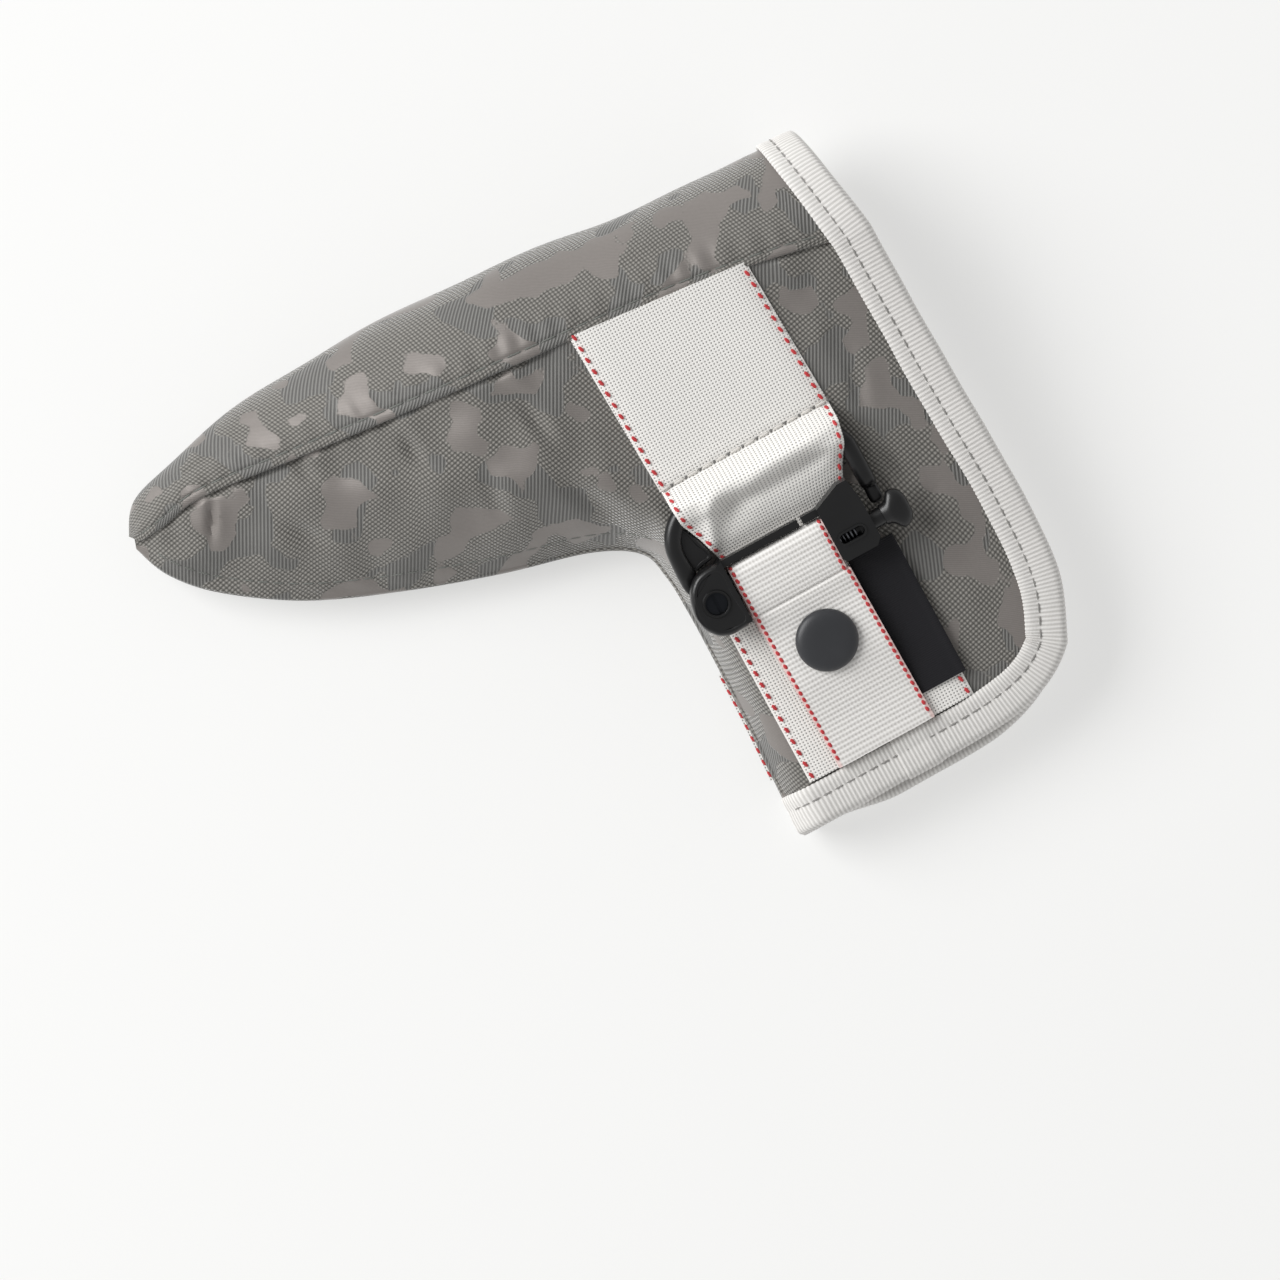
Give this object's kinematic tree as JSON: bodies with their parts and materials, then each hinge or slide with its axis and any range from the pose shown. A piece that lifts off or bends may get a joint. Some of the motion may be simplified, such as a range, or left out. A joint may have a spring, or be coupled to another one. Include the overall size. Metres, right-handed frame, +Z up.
{
  "type": "putter head cover",
  "caption": "L-shaped padded fabric cover for a blade putter head, with a bound mouth, wide webbing, a snap strap and a locking clip.",
  "frame": {"origin": "under the middle of the cover's outline, on the surface that its back panel lies on", "axes": "+X from the toe to the heel, +Y towards the spine over the sole, +Z up, off the front panel"},
  "size_m": [0.1912, 0.1558, 0.0416],
  "materials": {
    "outer_fabric": "grey jacquard weave with satin spots",
    "foam": "soft open-cell foam sheet",
    "lining": "brushed dark grey lining",
    "binding_tape": "ribbed light grey tape",
    "wide_webbing": "light grey webbing with a red dashed edge thread",
    "strap_webbing": "ribbed light grey strap with a red dashed edge thread",
    "label": "bare black woven label",
    "snap_metal": "pressed plated metal",
    "snap_paint": "matte charcoal paint",
    "clip_plastic": "satin black moulded plastic",
    "steel": "dark plated steel",
    "magnet": "plated magnet disc"
  },
  "bodies": {
    "cover": {"front_panel": "outer_fabric", "back_panel": "outer_fabric", "spine_gusset": "outer_fabric", "front_foam": "foam", "back_foam": "foam", "spine_foam": "foam", "front_lining": "lining", "back_lining": "lining", "spine_lining": "lining", "mouth_binding": "binding_tape", "front_magnet": "magnet", "back_magnet": "magnet", "web_upper": "wide_webbing", "web_loop": "wide_webbing", "web_lower": "wide_webbing", "leg_seam_tape": "wide_webbing", "label_tab": "label", "snap_stud": "snap_metal", "snap_rivet": "snap_metal"},
    "strap": {"snap_strap": "strap_webbing", "snap_cap": "snap_paint", "snap_socket": "snap_metal", "clip_frame": "clip_plastic", "clip_pivot_pin": "steel", "button_spring": "steel"},
    "bow": {"clip_bow": "clip_plastic"},
    "button": {"clip_button": "clip_plastic"}
  },
  "joints": [
    {"name": "strap_swing", "type": "hinge", "parent": "cover", "child": "strap", "pos_m": [0.0373, -0.06727, 0.02142], "axis": [1, 0, 0], "range_deg": [0, 8], "deforming": ["web_loop"]},
    {"name": "bow_hinge", "type": "hinge", "parent": "strap", "child": "bow", "pos_m": [0.019, -0.01828, 0.03159], "axis": [0, -0.1736, 0.9848], "range_deg": [0, 10], "deforming": ["web_loop"]},
    {"name": "button_slide", "type": "slide", "parent": "strap", "child": "button", "axis": [-1, 0, 0], "range_m": [0, 0.0025], "stiffness_N_per_m": 400, "springref_m": -0.002, "deforming": ["button_spring"]}
  ]
}
